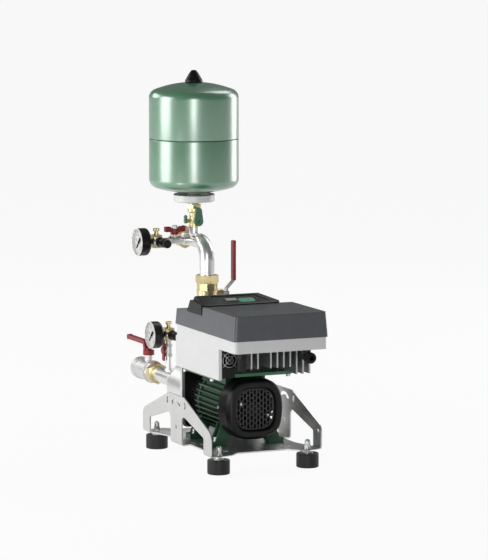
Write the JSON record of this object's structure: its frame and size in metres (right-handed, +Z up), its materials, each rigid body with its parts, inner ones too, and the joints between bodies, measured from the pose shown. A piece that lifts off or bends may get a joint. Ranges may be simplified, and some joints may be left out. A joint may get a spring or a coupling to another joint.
{
  "type": "pressure booster unit",
  "caption": "Pressure booster: horizontal multistage pump with a converter on top, on a bent sheet base, with valves, gauges and a diaphragm vessel.",
  "frame": {"origin": "on the floor, in the centre of the four feet", "axes": "+X to the right as seen from the fan cowl, +Y along the pump shaft towards the suction end, +Z up"},
  "size_m": [0.2752, 0.8982, 0.8589],
  "materials": {
    "stainless_sheet": "satin",
    "stainless_bright": "polished",
    "zinc_steel": "satin",
    "black_rubber": "matte",
    "green_paint": "satin",
    "vessel_paint": "gloss",
    "black_plastic": "matte",
    "dark_grey_plastic": "matte",
    "light_grey_paint": "matte",
    "cast_aluminium": "cast",
    "nickel_brass": "satin",
    "red_plastic": "matte",
    "red_coating": "satin",
    "green_plastic": "matte",
    "white_plastic": "gloss",
    "clear_pane": "clear",
    "display_film": "gloss",
    "copper_winding": "satin",
    "circuit_board": "matte"
  },
  "bodies": {
    "frame": {"base_frame": "stainless_sheet", "rubber_feet": "black_rubber", "foot_fixings": "zinc_steel", "motor_housing": "green_paint", "stator": "copper_winding", "bearings": "zinc_steel", "fan_cowl": "black_plastic", "fixing_screws": "zinc_steel", "motor_bolts": "zinc_steel", "lantern": "black_plastic", "coupling_guard": "black_plastic", "pump_casing": "stainless_bright", "stage_chambers": "stainless_bright", "shaft_seal": "black_rubber", "brass_plugs": "nickel_brass", "adapter_plate": "green_paint", "heat_sink": "cast_aluminium", "converter_housing": "light_grey_paint", "converter_lid": "dark_grey_plastic", "power_board": "circuit_board", "control_panel": "black_plastic", "display_window": "display_film", "axial_fan_frame": "black_plastic", "axial_fan_guard": "zinc_steel", "cable_glands": "black_plastic", "check_valve_body": "nickel_brass", "discharge_valve_body": "nickel_brass", "union_nuts": "nickel_brass", "discharge_pipe": "stainless_bright", "outlet_union": "nickel_brass", "cock_bodies": "stainless_bright", "sensor_blocks": "nickel_brass", "pressure_sensors": "black_plastic", "gauge_cases": "black_plastic", "gauge_dials": "white_plastic", "gauge_glasses": "clear_pane", "suction_pipe": "stainless_bright", "suction_valve_body": "stainless_bright", "vessel_shells": "vessel_paint", "vessel_diaphragm": "black_rubber", "vessel_ring": "white_plastic", "flow_valve_body": "nickel_brass", "air_valve": "nickel_brass"},
    "pump_rotor": {"pump_shaft": "stainless_bright", "rotor_core": "zinc_steel", "motor_fan": "black_plastic", "impellers": "stainless_bright"},
    "fan_rotor": {"axial_fan_rotor": "black_plastic"},
    "discharge_handle": {"discharge_valve_ball": "stainless_bright", "discharge_lever": "zinc_steel", "discharge_grip": "red_plastic"},
    "suction_handle": {"suction_valve_ball": "stainless_bright", "suction_lever": "red_coating"},
    "upper_tap": {"upper_cock_handle": "red_coating"},
    "lower_tap": {"lower_cock_handle": "red_coating"},
    "vessel_tap": {"flow_lever": "green_plastic"},
    "drain_tap": {"drain_handle": "green_plastic"},
    "upper_needle": {"upper_pointer": "black_plastic"},
    "lower_needle": {"lower_pointer": "black_plastic"},
    "cap": {"vessel_cap": "black_plastic"}
  },
  "joints": [
    {"name": "pump_spin", "type": "hinge", "parent": "frame", "child": "pump_rotor", "pos_m": [0, -0.02, 0.129], "axis": [0, 1, 0], "continuous": true},
    {"name": "cooling_fan_spin", "type": "hinge", "parent": "frame", "child": "fan_rotor", "pos_m": [-0.0836, -0.1747, 0.25], "axis": [0, 1, 0], "continuous": true},
    {"name": "discharge_turn", "type": "hinge", "parent": "frame", "child": "discharge_handle", "pos_m": [0.045, 0.1364, 0.355], "axis": [1, 0, 0], "range_deg": [0, 90]},
    {"name": "suction_turn", "type": "hinge", "parent": "frame", "child": "suction_handle", "pos_m": [0, 0.493, 0.165], "axis": [0, 0, 1], "range_deg": [0, 90]},
    {"name": "upper_tap_turn", "type": "hinge", "parent": "frame", "child": "upper_tap", "pos_m": [-0.048, 0.2125, 0.488], "axis": [0, 0, 1], "range_deg": [0, 90]},
    {"name": "lower_tap_turn", "type": "hinge", "parent": "frame", "child": "lower_tap", "pos_m": [-0.013, 0.368, 0.194], "axis": [1, 0, 0], "range_deg": [0, 90]},
    {"name": "vessel_tap_turn", "type": "hinge", "parent": "frame", "child": "vessel_tap", "pos_m": [0, 0.1885, 0.5145], "axis": [0, 1, 0], "range_deg": [0, 90]},
    {"name": "drain_tap_turn", "type": "hinge", "parent": "frame", "child": "drain_tap", "pos_m": [-0.02, 0.2125, 0.5145], "axis": [1, 0, 0], "range_deg": [0, 90]},
    {"name": "upper_needle_swing", "type": "hinge", "parent": "frame", "child": "upper_needle", "pos_m": [-0.13, 0.2125, 0.471], "axis": [1, 0, 0], "range_deg": [0, 270], "stiffness_Nm_per_rad": 0.002},
    {"name": "lower_needle_swing", "type": "hinge", "parent": "frame", "child": "lower_needle", "pos_m": [-0.035, 0.368, 0.232], "axis": [1, 0, 0], "range_deg": [0, 270], "stiffness_Nm_per_rad": 0.002},
    {"name": "cap_lift", "type": "slide", "parent": "frame", "child": "cap", "axis": [0, 0, 1], "range_m": [0, 0.03]}
  ]
}
